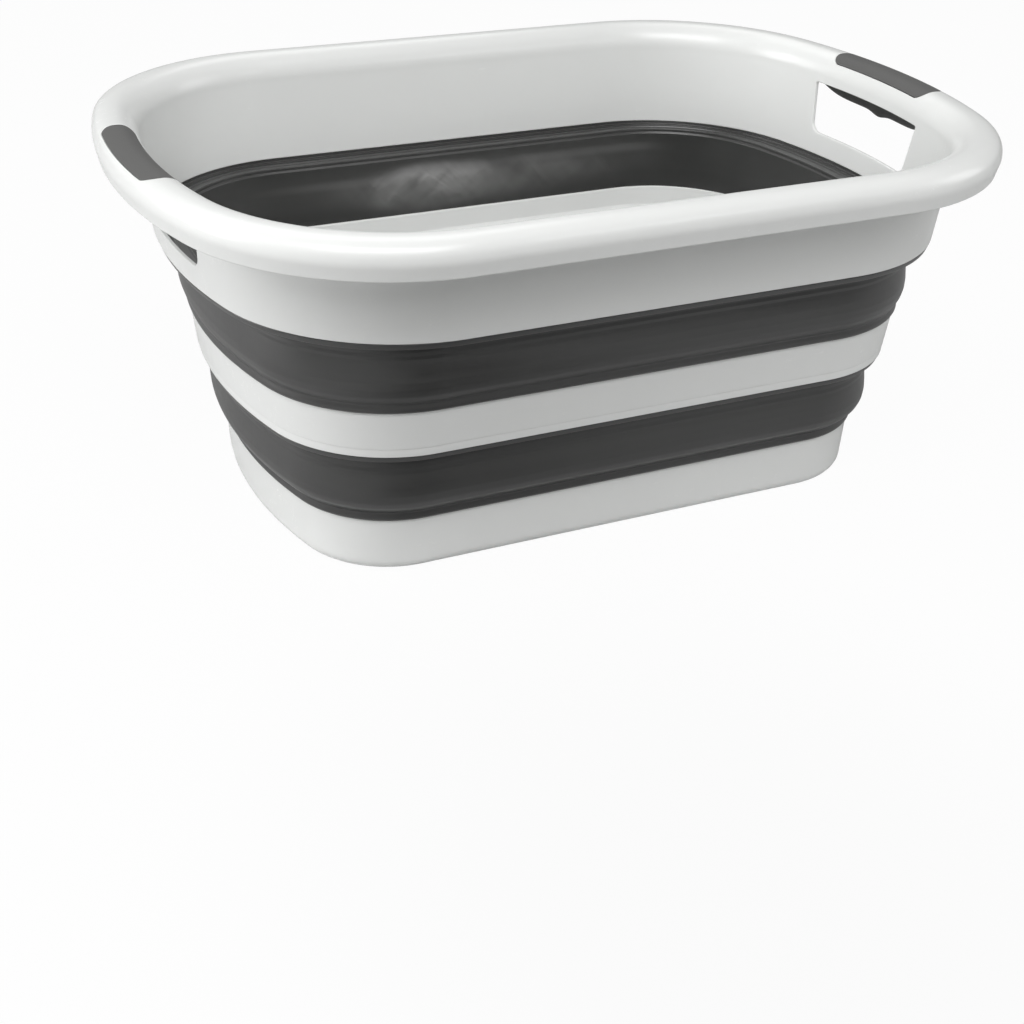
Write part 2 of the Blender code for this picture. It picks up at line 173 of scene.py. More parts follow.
def section(corners, closed, arc_steps=ARC_STEPS):
    """Fine path through corners given as (inset, height, radius) in millimetres.

    Each corner becomes the arc that touches both its legs, at most half a leg long, and the
    straight parts are cut into equal steps. An open path keeps its two end points.
    """
    table = np.array(corners, float) * MM
    points = table[:, :2]
    radii = np.maximum(table[:, 2], SHARP)
    back, ahead, half, shorter_leg = corner_legs(points)
    reach = np.minimum(radii / np.tan(half), LEG_SHARE * shorter_leg)
    if not closed:
        reach[0] = reach[-1] = TINY
    arcs = corner_arcs(points, back, ahead, half, reach, arc_steps)
    if not closed:
        arcs[0] = points[0]
        arcs[-1] = points[-1]
    parts = []
    for here, following in zip(arcs, np.roll(arcs, -1, axis=0)):
        gap = following[0] - here[-1]
        steps = max(1, math.ceil(np.linalg.norm(gap) / LONGEST_STEP))
        parts.append(here)
        parts.append(here[-1] + gap * (np.arange(1, steps) / steps)[:, None])
    if not closed:
        parts.pop()
    path = np.vstack(parts)
    step = np.linalg.norm(path - np.roll(path, 1, axis=0), axis=1)
    step[0] = 1
    return path[step > NO_LENGTH]


def grid_faces(rows, columns, rows_close, columns_close):
    """Four-sided faces of a grid of points, as an array (row, column, corner)."""
    row = np.arange(rows if rows_close else rows - 1)[:, None]
    column = np.arange(columns if columns_close else columns - 1)[None, :]
    below = row * columns
    above = (row + 1) % rows * columns
    right = (column + 1) % columns
    return np.stack([below + column, below + right, above + right, above + column], axis=-1)


def make_piece(name, blocks, material):
    """One closed mesh out of blocks of (points, faces): shared edges are merged, faces turned
    outwards and shaded smooth."""
    points = []
    faces = []
    count = 0
    for block_points, block_faces in blocks:
        block_points = block_points.reshape(-1, 3)
        points.append(block_points)
        faces.append(block_faces.reshape(-1, 4) + count)
        count += len(block_points)
    mesh = bpy.data.meshes.new(name)
    mesh.from_pydata(np.vstack(points).tolist(), [], np.vstack(faces).tolist())
    build = bmesh.new()
    build.from_mesh(mesh)
    bmesh.ops.remove_doubles(build, verts=build.verts, dist=MERGE_DISTANCE)
    bmesh.ops.dissolve_degenerate(build, edges=build.edges, dist=NO_LENGTH)
    bmesh.ops.recalc_face_normals(build, faces=build.faces)
    if build.calc_volume(signed=True) < 0:
        bmesh.ops.reverse_faces(build, faces=build.faces)
    for face in build.faces:
        face.smooth = True
    build.to_mesh(mesh)
    build.free()
    mesh.materials.append(material)
    piece = bpy.data.objects.new(name, mesh)
    bpy.context.scene.collection.objects.link(piece)
    return piece


def carry_round(path):
    """Points of a section (inset, height) carried round the tub's outline."""
    x, y = plan(path[:, 0])
    return np.stack([x, y, path[:, 1:2] + 0 * x], axis=-1)


def put(tree, kind, sockets=(), **settings):
    """A shader node with its settings, its sockets filled or linked by name."""
    made = tree.nodes.new(kind)
    for key, value in settings.items():
        setattr(made, key, value)
    for key, value in dict(sockets).items():
        if isinstance(value, bpy.types.NodeSocket):
            tree.links.new(value, made.inputs[key])
        else:
            made.inputs[key].default_value = value
    return made


def new_group(name, takes, gives):
    """An empty node group with named float sockets; returns the tree, its inputs, its output."""
    tree = bpy.data.node_groups.new(name, "ShaderNodeTree")
    for label, value in takes:
        socket = tree.interface.new_socket(label, in_out="INPUT", socket_type="NodeSocketFloat")
        socket.default_value = value
    for label in gives:
        tree.interface.new_socket(label, in_out="OUTPUT", socket_type="NodeSocketFloat")
    return tree, tree.nodes.new("NodeGroupInput").outputs, tree.nodes.new("NodeGroupOutput")


def math_node(tree, operation, first, second=0.0, third=0.0):
    """Output of one arithmetic step."""
    made = tree.nodes.new("ShaderNodeMath")
    made.operation = operation
    for socket, value in zip(made.inputs, (first, second, third)):
        if isinstance(value, bpy.types.NodeSocket):
            tree.links.new(value, socket)
        else:
            socket.default_value = value
    return made.outputs[0]


def noise(tree, scale, detail, stretch=(1, 1, 1), turn=(0, 0, 0), roughness=0.5, distortion=0.0):
    """Cloud noise on Object coordinates in metres, its features about 1 / scale long."""
    place = put(tree, "ShaderNodeTexCoord").outputs["Object"]
    place = put(tree, "ShaderNodeMapping", {"Vector": place, "Rotation": turn}).outputs[0]
    place = put(tree, "ShaderNodeMapping", {"Vector": place, "Scale": stretch}).outputs[0]
    sockets = {"Vector": place, "Scale": scale, "Detail": detail, "Roughness": roughness,
               "Distortion": distortion}
    return put(tree, "ShaderNodeTexNoise", sockets).outputs[0]


def moulding_group():
    """Surface of a moulded plastic: a cloud where the melt cooled unevenly, the fine
    orange-peel skin of the tool, slow unevenness of the wall, and hairline scuffs.

    Cloud and Scuff are masks from 0 to 1; Height is in millimetres.
    """
    tree, given, result = new_group(
        "Moulded skin",
        [("Peel", 0.004), ("Unevenness", 0.05), ("Scuff depth", 0.004), ("Scuff amount", 0.5)],
        ["Cloud", "Scuff", "Height"],
    )
    cloud = noise(tree, 11, 3)
    slow = noise(tree, 7, 1)
    peel = noise(tree, 620, 2)
    lines = noise(tree, 30, 4, stretch=(1, 9, 3), distortion=1.2)
    lines = math_node(tree, "ABSOLUTE", math_node(tree, "SUBTRACT", lines, 0.5))
    lines = math_node(tree, "SUBTRACT", 1, math_node(tree, "MULTIPLY", lines, 70))
    lines = math_node(tree, "MAXIMUM", lines, 0)
    where = math_node(tree, "GREATER_THAN", noise(tree, 19, 2), 0.56)
    scuff = math_node(tree, "MULTIPLY", lines, where)
    scuff = math_node(tree, "MULTIPLY", scuff, given["Scuff amount"])
    height = math_node(tree, "MULTIPLY", slow, given["Unevenness"])
    height = math_node(tree, "MULTIPLY_ADD", peel, given["Peel"], height)
    groove = math_node(tree, "MULTIPLY", scuff, given["Scuff depth"])
    height = math_node(tree, "SUBTRACT", height, groove)
    tree.links.new(cloud, result.inputs["Cloud"])
    tree.links.new(scuff, result.inputs["Scuff"])
    tree.links.new(height, result.inputs["Height"])
    return tree


MOULDED_SKIN = moulding_group()


def mix_colour(tree, factor, first, second):
    """Output of a colour mix."""
    made = put(tree, "ShaderNodeMix", data_type="RGBA")
    taken = (made.inputs[0], made.inputs[6], made.inputs[7])
    for socket, value in zip(taken, (factor, first, second)):
        if isinstance(value, bpy.types.NodeSocket):
            tree.links.new(value, socket)
        else:
            socket.default_value = value
    return made.outputs[2]


def start_material(name, constants):
    """A material with its Principled shader, whose unchanging sockets are set on itself."""
    material = bpy.data.materials.new(name)
    material.use_nodes = True
    shader = material.node_tree.nodes["Principled BSDF"]
    for key, value in constants.items():
        shader.inputs[key].default_value = value
    return material, material.node_tree, shader


def bend_normal(tree, shader, height):
    """Bends the shader's normal by a height given in millimetres."""
    bump = put(tree, "ShaderNodeBump", {"Strength": 1.0, "Distance": MM, "Height": height})
    tree.links.new(bump.outputs[0], shader.inputs["Normal"])


def white_polypropylene(name, light, deep, gloss):
    """Glossy white polypropylene: colour drifts between two near whites with the melt's cloud,
    scuffs dull the gloss, and the height of the moulded skin bends the reflections."""
    material, tree, shader = start_material(name, {
        "IOR": 1.49, "Subsurface Weight": 0.0, "Specular IOR Level": 0.5,
    })
    skin = put(tree, "ShaderNodeGroup", {
        "Peel": 0.003, "Unevenness": 0.11, "Scuff depth": 0.001, "Scuff amount": 0.18,
    }, node_tree=MOULDED_SKIN)
    colour = mix_colour(tree, skin.outputs["Cloud"], light, deep)
    tree.links.new(colour, shader.inputs["Base Color"])
    fine = noise(tree, 90, 3)
    rough = math_node(tree, "MULTIPLY_ADD", fine, 0.07, gloss - 0.035)
    rough = math_node(tree, "MULTIPLY_ADD", skin.outputs["Scuff"], 0.18, rough)
    tree.links.new(rough, shader.inputs["Roughness"])
    bend_normal(tree, shader, skin.outputs["Height"])
    return material


def floor_dish(points, height, sag, rings):
    """The flat middle of a tray, closed over a ring of points: the ring shrinks evenly to one
    point, the plate bulges by sag times (1 - share squared), and a small dimple marks the
    gate where the melt came in."""
    share = np.linspace(1, 0, rings)[:, None, None]
    dish = points[None, :, :] * share
    reach = np.linalg.norm(dish[..., :2], axis=-1)
    dimple = GATE_DEPTH * np.exp(-(reach / GATE_RADIUS) ** 4)
    dish[..., 2] = height + sag * (1 - share[..., 0] ** 2) - np.sign(sag) * dimple
    return dish, grid_faces(rings, ROUND, False, True)


base_path = section([
    (FOOT_RING_INSET + 3.4, UNDERSIDE, 0), (FOOT_RING_INSET + 1.2, UNDERSIDE, 0.4),
    (FOOT_RING_INSET, 0, 0.4), (TRAY_FOOT_INSET, 0, TRAY_FILLET),
    (TRAY_HEAD_INSET, TRAY_HEAD, 0.1), (TRAY_HEAD_INSET, TRAY_HEAD + HEAD_LAP, 0.5),
    (TRAY_HEAD_INSET + WALL, TRAY_HEAD + HEAD_LAP, 1.1), (TRAY_HEAD_INSET + WALL, TRAY_HEAD, 0.2),
    (FLOOR_INSET, FLOOR_TOP, FLOOR_FILLET), (FLOOR_INSET + 10.5, FLOOR_TOP, 0),
], False)
base_skin = carry_round(base_path)
underside = floor_dish(base_skin[0], base_path[0, 1], -FLOOR_CROWN / 2, FLOOR_RINGS)
tray_floor = floor_dish(base_skin[-1], base_path[-1, 1], FLOOR_CROWN, FLOOR_RINGS)
SHELL_WHITE = white_polypropylene(
    "Polypropylene white", (0.86, 0.87, 0.856, 1), (0.83, 0.84, 0.828, 1), 0.24)
base_tray = make_piece("tray_moulding", [
    (base_skin, grid_faces(len(base_path), ROUND, False, True)),
    underside,
    tray_floor,
], SHELL_WHITE)
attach(base_tray, "base")
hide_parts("base_tray")


# Lower and upper fold band. Soft dark thermoplastic elastomer, moulded onto the foot of one
# shell and the head of the next: a lip flush with the shell above, a ledge, the wall that turns
# inside out when the tub is folded, and a bead that clasps the shell below.

# In millimetres: where the shells that the bands join begin and end.
RING_FOOT = 94
RING_FOOT_INSET = 59
RING_HEAD = 126.5
RING_HEAD_INSET = 55
SHELL_FOOT = 180
SHELL_FOOT_INSET = 34
LOWER_LEDGE = 10.5
UPPER_LEDGE = 17.5

SEAM = 0.3
LIP_HEIGHT = 4.2
LIP_WIDTH = 6
LIP_BACK = 0.3
LIP_LEAN = 1.8
LEDGE_DROP = 1.6
CREASE = 0.8
BAND_WALL = 2
CURB_WALL = 2
CURB_DROP = 1.5
SHELF_DROP = 3.2
SHELF_LIP = 1.2
RIB_SHARE = 0.45
BEAD_WALL = 1.5
BEAD_TURN = 6
HEAD_COVER = 0.6
INNER_RISE = 4
SWELL = 2.8
DRAW_IN = 1
SWELL_RADIUS = 9
INNER_RADIUS = 16
RIPPLE = 0.15
RIPPLE_RADIUS = 1
RIPPLES = {0.15: 1, 0.2: -1, 0.25: 1, 0.3: -1}
OUTER_SHARES = (0.08, 0.15, 0.2, 0.25, 0.3, 0.36, 0.5, 0.64, 0.76, 0.86, 0.94)
INNER_SHARES = (0.3, 0.58, 0.8)
BAND_ARC_STEPS = 4
WAVE_SLANT = 25


def band_section(foot_inset, foot_height, ledge, head_inset, head_height):
    """Closed section of a fold band between a shell's foot and the next shell's head, in
    millimetres: outside from the lip down to the bead, inside back up to the curb.

    At each share of the way down, the outer wall swells by the sine of (pi times the share
    squared), so that its belly lies low, and is drawn in to the bead by the eighth power of the
    share. The inner wall leaves the head by the sine of a quarter turn times its share.
    """
    wall = foot_inset + ledge
    seat = foot_height - SEAM
    ledge_top = seat - LEDGE_DROP
    head_top = head_height + HEAD_LAP
    bead = head_inset - SEAM - BEAD_WALL
    curb = foot_inset + WALL + SEAM
    curb_top = foot_height - CURB_DROP
    crease_top = ledge_top - BAND_WALL
    bend = head_height + BEAD_TURN
    rib = curb + CURB_WALL + RIB_SHARE * (wall - curb - CURB_WALL)
    shelf = wall + BAND_WALL + 1
    shelf_top = ledge_top - SHELF_DROP
    leg = head_inset + HEAD_COVER
    leg_top = head_top + INNER_RISE
    outer = []
    for share in OUTER_SHARES:
        drawn_in = (bead + DRAW_IN - wall) * share ** 8
        inset = wall - SWELL * math.sin(math.pi * share ** 2) + drawn_in
        inset -= RIPPLE * RIPPLES.get(share, 0)
        radius = RIPPLE_RADIUS if share in RIPPLES else SWELL_RADIUS
        outer.append((inset, crease_top + (bend - crease_top) * share, radius))
    inner = []
    for share in INNER_SHARES:
        inset = leg + (shelf - leg) * math.sin(math.pi / 2 * share)
        inner.append((inset, leg_top + (shelf_top - leg_top) * share, INNER_RADIUS))
    return section([
        (foot_inset + LIP_BACK, seat, 0.4),
        (foot_inset + LIP_BACK + LIP_LEAN, seat - LIP_HEIGHT, 1.2),
        (foot_inset + LIP_WIDTH, seat - LIP_HEIGHT, 1.4),
        (foot_inset + LIP_WIDTH + CREASE, crease_top, 0.5),
        (wall + CREASE, crease_top, 1.5),
    ] + outer + [
        (bead + 0.8, bend, 2),
        (bead + 0.1, head_height + 3.2, 2),
        (bead - 0.1, head_height + 1.4, 1.2),
        (bead + 0.6, head_height, 0.5),
        (head_inset - SEAM, head_height, 0.1),
        (head_inset - SEAM, head_top + SEAM, 0.1),
        (leg, head_top + SEAM, 0.2),
        (leg, leg_top, 0.9),
    ] + inner + [
        (shelf, shelf_top - 0.6, 1.1),
        (shelf - SHELF_LIP, shelf_top + 0.5, 0.5),
        (shelf - SHELF_LIP, ledge_top, 1.1),
        (wall, ledge_top - 0.7, 1),
        (rib + 1.6, ledge_top - 0.9, 0.5),
        (rib + 1, ledge_top - 0.1, 0.5),
        (rib, ledge_top - 0.1, 0.5),
        (rib - 0.7, ledge_top - 1, 0.5),
        (curb + CURB_WALL, ledge_top - 1, 0.5),
        (curb + CURB_WALL, curb_top, 0.5),
        (curb, curb_top, 0.2),
        (curb, seat, 0.1),
    ], True, BAND_ARC_STEPS)


def buckled(points, low, high, waves, dents):
    """Points of a band moved in and out where its wall is slack, between two heights.

    The slack is the squared sine of (pi times the share of the way up). Waves are (count round
    the tub, phase, depth), each a sine of count times bearing. Dents are (x, y, height, length,
    width, slant, depth): shallow creases, e to the power of minus the squared shares of their
    length and width. Lengths are in millimetres.
    """
    x, y, z = points[..., 0], points[..., 1], points[..., 2]
    tangent_x = np.roll(x, -1, axis=1) - np.roll(x, 1, axis=1)
    tangent_y = np.roll(y, -1, axis=1) - np.roll(y, 1, axis=1)
    length = np.hypot(tangent_x, tangent_y)
    slack = np.sin(math.pi * np.clip((z - low) / (high - low), 0, 1)) ** 2
    bearing = np.arctan2(y * RIM_LENGTH / RIM_WIDTH, x)
    out = 0 * z
    for count, phase, depth in waves:
        out += depth * MM * np.sin(count * bearing + phase + WAVE_SLANT * z)
    for dent_x, dent_y, dent_z, long, wide, slant, depth in dents:
        over = np.hypot(x - dent_x * MM, y - dent_y * MM) * np.sign(x - dent_x * MM)
        up = z - dent_z * MM
        along = over * math.cos(slant) + up * math.sin(slant)
        across = up * math.cos(slant) - over * math.sin(slant)
        near = np.exp(-(along / (long * MM)) ** 2 - (across / (wide * MM)) ** 2)
        out += depth * MM * near
    moved = points.copy()
    moved[..., 0] += slack * out * tangent_y / length
    moved[..., 1] -= slack * out * tangent_x / length
    return moved


def near_place(tree, centre, reach):
    """Mask that is 1 at a place and falls off smoothly to 0 at the given reach along x, y, z."""
    place = put(tree, "ShaderNodeTexCoord").outputs["Object"]
    off = put(tree, "ShaderNodeVectorMath", operation="SUBTRACT")
    tree.links.new(place, off.inputs[0])
    off.inputs[1].default_value = centre
    share = put(tree, "ShaderNodeVectorMath", operation="DIVIDE")
    tree.links.new(off.outputs[0], share.inputs[0])
    share.inputs[1].default_value = reach
    distance = put(tree, "ShaderNodeVectorMath", operation="LENGTH")
    tree.links.new(share.outputs[0], distance.inputs[0])
    sockets = {"Value": distance.outputs["Value"], "From Min": 1.0, "From Max": 0.0}
    return put(tree, "ShaderNodeMapRange", sockets, interpolation_type="SMOOTHERSTEP").outputs[0]


def soft_elastomer(name, dark, pale, sheen_colour, rough, painted_sheens):
    """Dark elastomer: colour and gloss drift in slow blotches and in the long faint flow lines
    of the melt. At given places a paler colour is painted on as sheen, where the wall catches
    the light, and is broken up and crossed by slanting fold bumps.
    Painted sheens are (centre, reach, strength, height of the folds in millimetres)."""
    material, tree, shader = start_material(name, {"IOR": 1.5, "Specular IOR Level": 0.9})
    skin = put(tree, "ShaderNodeGroup", {
        "Peel": 0.01, "Unevenness": 0.25, "Scuff depth": 0.004, "Scuff amount": 0.3,
    }, node_tree=MOULDED_SKIN)
    flow = noise(tree, 5, 3, stretch=(1, 1, 26), distortion=0.4)
    blotch = noise(tree, 26, 4, roughness=0.6)
    falling = noise(tree, 48, 2, stretch=(1, 1, 0.3), turn=(0, 0.75, 0), distortion=0.5)
    rising = noise(tree, 40, 2, stretch=(1, 1, 0.3), turn=(0, -0.85, 0), distortion=0.5)
    folds = math_node(tree, "ADD", falling, rising)
    tint = math_node(tree, "MULTIPLY_ADD", flow, 0.6, math_node(tree, "MULTIPLY", blotch, 0.4))
    colour = mix_colour(tree, tint, dark, pale)
    height = math_node(tree, "MULTIPLY_ADD", blotch, 0.3, skin.outputs["Height"])
    patches = math_node(tree, "MULTIPLY_ADD", folds, 1.7, -1.0)
    # Each place mixes in a painted sheen: the pale sheen colour under a soft mask, broken up by the
    # folds.
    for centre, reach, strength, fold in painted_sheens:
        mask = near_place(tree, centre, reach)
        share = math_node(tree, "MULTIPLY", mask, strength)
        if fold:
            share = math_node(tree, "MULTIPLY", share, patches)
            folded = math_node(tree, "MULTIPLY", mask, folds)
            height = math_node(tree, "MULTIPLY_ADD", folded, fold, height)
        share = math_node(tree, "MAXIMUM", share, 0)
        colour = mix_colour(tree, math_node(tree, "MINIMUM", share, 1), colour, sheen_colour)
    tree.links.new(colour, shader.inputs["Base Color"])
    gloss = math_node(tree, "MULTIPLY_ADD", blotch, 0.16, rough - 0.08)
    gloss = math_node(tree, "MULTIPLY_ADD", flow, 0.08, gloss)
    gloss = math_node(tree, "MULTIPLY_ADD", skin.outputs["Scuff"], 0.1, gloss)
    tree.links.new(gloss, shader.inputs["Roughness"])
    bend_normal(tree, shader, height)
    return material


# Painted sheen on the inside of the upper band's back wall, where it catches the light: a broad pale
# patch, a brighter one crossed by fold bumps, and two thin painted sheen lines across it.
PAINTED_SHEEN_PLACES = [
    ((0.0, 0.160, 0.157), (0.34, 0.02, 0.036), 0.14, 0),
    ((0.02, 0.160, 0.152), (0.17, 0.016, 0.022), 0.6, 2),
    ((-0.022, 0.160, 0.151), (0.075, 0.016, 0.024), 1.25, 4),
    ((-0.09, 0.160, 0.160), (0.10, 0.012, 0.006), 0.2, 0),
    ((0.11, 0.160, 0.164), (0.12, 0.012, 0.006), 0.2, 0),
]
# The third colour is the pale painted sheen.
BAND_DARK = soft_elastomer(
    "Fold band", (0.016, 0.016, 0.0155, 1), (0.029, 0.029, 0.028, 1), (0.22, 0.22, 0.216, 1), 0.32,
    PAINTED_SHEEN_PLACES)


def fold_band(name, path, low, high, waves, dents):
    """A band: its section carried round the tub, and buckled between two heights."""
    skin = buckled(carry_round(path), low * MM, high * MM, waves, dents)
    return make_piece(name, [(skin, grid_faces(len(path), ROUND, True, True))], BAND_DARK)


lower_band = fold_band(
    "lower_band_skin",
    band_section(RING_FOOT_INSET, RING_FOOT, LOWER_LEDGE, TRAY_HEAD_INSET, TRAY_HEAD), 50, 88,
    [(3, 0.7, 0.25), (7, 2.1, 0.18), (13, 4.0, 0.1)],
    [(150, -120, 70, 26, 5, 0.5, -0.5), (-90, 146, 68, 30, 5, -0.4, -0.5)])
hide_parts("lower_fold_band")
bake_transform(lower_band)

upper_band = fold_band(
    "upper_band_skin",
    band_section(SHELL_FOOT_INSET, SHELL_FOOT, UPPER_LEDGE, RING_HEAD_INSET, RING_HEAD), 136, 175,
    [(3, 2.0, 0.4), (8, 0.4, 0.3), (14, 1.0, 0.2)],
    [(-110, -163, 164, 60, 9, 0, 0.8), (-110, -163, 143, 60, 9, 0, -1.2),
     (160, 158, 160, 26, 5, 0, -1.2)])
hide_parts("upper_fold_band")
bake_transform(upper_band)


# Middle ring. The second stiff piece, of the same white polypropylene: a drafted ring with one
# fine line round its outside just above the foot and a stiffening ridge round its inside.

LINE_HEIGHT = 99.6
RIDGE_HEIGHT = 112.5

ring_path = section([
    (RING_HEAD_INSET, RING_HEAD + HEAD_LAP, 0.5), (RING_HEAD_INSET, RING_HEAD, 0.1),
    (58.29, LINE_HEIGHT + 0.3, 0.15), (58.6, LINE_HEIGHT, 0.15), (58.78, LINE_HEIGHT - 3.1, 2),
    (RING_FOOT_INSET, RING_FOOT, 0.3), (RING_FOOT_INSET + WALL, RING_FOOT, 0.3),
    (60.3, RIDGE_HEIGHT - 3.3, 2), (60.92, RIDGE_HEIGHT, 1.5), (58.9, RIDGE_HEIGHT + 3.9, 2),
    (RING_HEAD_INSET + WALL, RING_HEAD + 2, 0.1), (RING_HEAD_INSET + WALL, RING_HEAD + HEAD_LAP, 1.1),
], True)
middle_ring = make_piece("ring_moulding", [
    (carry_round(ring_path), grid_faces(len(ring_path), ROUND, True, True)),
], SHELL_WHITE)
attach(middle_ring, "middle")
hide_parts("middle_ring")


# Upper shell. One white moulding: a sloping wall with a handle window in each end, rolled over
# outwards into the wide rim and down to its lip, all in one thickness. The top of the rim is
# recessed at each end for a grip pad.

FOOT = SHELL_FOOT * MM
ROLL = 237 * MM
LIP = 231.8 * MM
FACE_RISE = 5 * MM
SHOULDER_POWER = 2.6
FACE_LEAN = 2.0 * MM
FACE_ROWS = 4
ROLL_WIDTH = 30.8 * MM
ROLL_HEIGHT = 18 * MM
ROLL_MIDDLE = ROLL_WIDTH / 2
WALL_DRAFT = 5.8 * MM
FOOT_ROUND = 0.5 * MM
WALL_ROWS = 28
ROLL_ROWS = 36
UNDER_ROWS = 24
LIP_ROWS = 10

WINDOW_TOP = 233 * MM
WINDOW_SILL = 196 * MM
WINDOW_TOP_WIDTH = 125 * MM
WINDOW_SILL_WIDTH = 114 * MM
WINDOW_CORNER = 9 * MM
WINDOW_TOP_CORNER = 1.2 * MM
WINDOW_EDGE = 0.7 * MM
WINDOW_COLUMNS = 35
WINDOW_LOW_ROW = 3
WINDOW_HIGH_ROW = 27
OUTLINE_ARC_STEPS = 24
OUTLINE_CROWDING = 0.55

PAD_LENGTH = 112 * MM
PAD_WIDTH = 22 * MM
PAD_CORNER = 9 * MM
PAD_THICKNESS = 1.1 * MM
PAD_GAP = 0.3 * MM
PAD_COLUMNS = 32
PAD_LOW_ROW = 7
PAD_HIGH_ROW = 29

FIRST_ROW_RISE = 1.2 * MM
APPROACH = (0, 0.3, 0.6, 0.85)
FLOOR_SHARES = (0.7, 0.4, 0.15, 0)
COARSE_TURN = np.radians([0, 30, 60, 90])
FINE_TURN = np.radians([0, 22, 45, 68, 90])
TOP_OF_ROLL = np.array([0, math.pi / 2])


def roll_point(angle, depth):
    """(inset, height) of the roll, a depth below its surface: half an ellipse round the middle
    of the rim, from the inner shoulder at angle 0 to the head of the outer face at pi. The outer
    quarter ends higher and its shoulder is fuller: (1 - cosine to the power n) to the power 1 / n."""
    across = np.cos(angle)
    outside = across < -TINY
    rise = np.where(outside, FACE_RISE, 0)
    power = np.where(outside, SHOULDER_POWER, 2)
    share = np.maximum(1 - np.abs(across) ** power, 0) ** (1 / power)
    height = ROLL + rise + (ROLL_HEIGHT - rise - depth) * share
    return ROLL_MIDDLE + (ROLL_MIDDLE - depth) * across, height


def wall_inset(height, depth):
    """Inset of the sloping wall, its outer face at depth 0: straight from foot to roll."""
    return ROLL_WIDTH - SHELL_WALL + WALL_DRAFT * (ROLL - height) / (ROLL - FOOT) + depth


def on_wall(side, y, height, depth):
    """Points of one end's wall from y, height and depth."""
    inset = wall_inset(height, depth)
    return np.stack([side * end_x(inset, y), y + 0 * inset, height + 0 * inset], axis=-1)


def on_roll(side, y, angle, depth):
    """Points of one end's roll from y, angle and depth."""
    inset, height = roll_point(angle, depth)
    return np.stack([side * end_x(inset, y), y + 0 * inset, height], axis=-1)


def frame_loop(across, up):
    """Points round a rectangle of grid lines, (first, second) from its low corner, and the
    number of steps on each of its four sides."""
    low = np.stack([across[:-1], across[:-1] * 0 + up[0]], axis=1)
    right = np.stack([up[:-1] * 0 + across[-1], up[:-1]], axis=1)
    top = np.stack([across[:0:-1], across[:0:-1] * 0 + up[-1]], axis=1)
    left = np.stack([up[:0:-1] * 0 + across[0], up[:0:-1]], axis=1)
    return np.vstack([low, right, top, left]), [len(across) - 1, len(up) - 1] * 2


def outline_loop(corners, radii, steps):
    """Rounded four-sided outline cut into the given numbers of steps a side, closer together
    towards its corners. A side runs from the middle of one corner's arc to the next one's, and
    its steps crowd by a share of the sine of the full turn."""
    corners = np.array(corners, float)
    back, ahead, half, _ = corner_legs(corners)
    arcs = corner_arcs(corners, back, ahead, half, np.array(radii) / np.tan(half), OUTLINE_ARC_STEPS)
    half_arc = OUTLINE_ARC_STEPS // 2
    loop = []
    for side in range(4):
        path = np.vstack([arcs[side, half_arc:], arcs[(side + 1) % 4, :half_arc + 1]])
        run = np.concatenate([[0], np.cumsum(np.linalg.norm(np.diff(path, axis=0), axis=1))])
        at = np.arange(steps[side]) / steps[side]
        crowd = OUTLINE_CROWDING * np.sin(2 * math.pi * at) / (2 * math.pi)
        at = (at - crowd) * run[-1]
        loop.append(np.stack([np.interp(at, run, path[:, 0]), np.interp(at, run, path[:, 1])], axis=1))
    return np.vstack(loop)


def grown(loop, by):
    """A loop that runs anticlockwise, moved outwards by a distance along its normals."""
    tangent = np.roll(loop, -1, axis=0) - np.roll(loop, 1, axis=0)
    tangent /= np.linalg.norm(tangent, axis=1)[:, None]
    return loop + by * np.stack([tangent[:, 1], -tangent[:, 0]], axis=1)


def window_patch(side):
    """Skin round a handle window: from the frame in the inner face's grid to the window's edge,
    rounded through the thickness of the wall, and back to the frame in the outer face."""
    y = np.arange(-WINDOW_COLUMNS, WINDOW_COLUMNS + 1) * COLUMN_WIDTH
    outer_frame, steps = frame_loop(y, wall_heights[WINDOW_LOW_ROW:WINDOW_HIGH_ROW + 1])
    edge = outline_loop(
        [(-WINDOW_SILL_WIDTH / 2, WINDOW_SILL), (WINDOW_SILL_WIDTH / 2, WINDOW_SILL),
         (WINDOW_TOP_WIDTH / 2, WINDOW_TOP), (-WINDOW_TOP_WIDTH / 2, WINDOW_TOP)],
        [WINDOW_CORNER, WINDOW_CORNER, WINDOW_TOP_CORNER, WINDOW_TOP_CORNER], steps)
    flat = grown(edge, WINDOW_EDGE)
    wide = [outer_frame + (flat - outer_frame) * share for share in APPROACH]
    rounded = [grown(edge, WINDOW_EDGE * (1 - math.sin(angle))) for angle in FINE_TURN]
    depth = WINDOW_EDGE * (1 - np.cos(FINE_TURN))
    loops = wide + rounded + [edge] + rounded[::-1] + wide[::-1]
    depths = np.concatenate([
        np.full(len(wide), SHELL_WALL), SHELL_WALL - depth,
        [SHELL_WALL / 2],
        depth[::-1], np.zeros(len(wide)),
    ])
    loops = np.array(loops)
    points = on_wall(side, loops[..., 0], loops[..., 1], depths[:, None])
    return points, grid_faces(len(loops), loops.shape[1], False, True)


def pad_loop(grow, steps):
    """Outline of a grip pad as (y, angle on the roll), grown by a distance in plan."""
    half = PAD_LENGTH / 2
    near = ROLL_MIDDLE + PAD_WIDTH / 2
    far = ROLL_MIDDLE - PAD_WIDTH / 2
    corners = [(-half, -near), (half, -near), (half, -far), (-half, -far)]
    loop = grown(outline_loop(corners, [PAD_CORNER] * 4, steps), grow)
    return np.stack([loop[:, 0], np.arccos((-loop[:, 1] - ROLL_MIDDLE) / ROLL_MIDDLE)], axis=1)


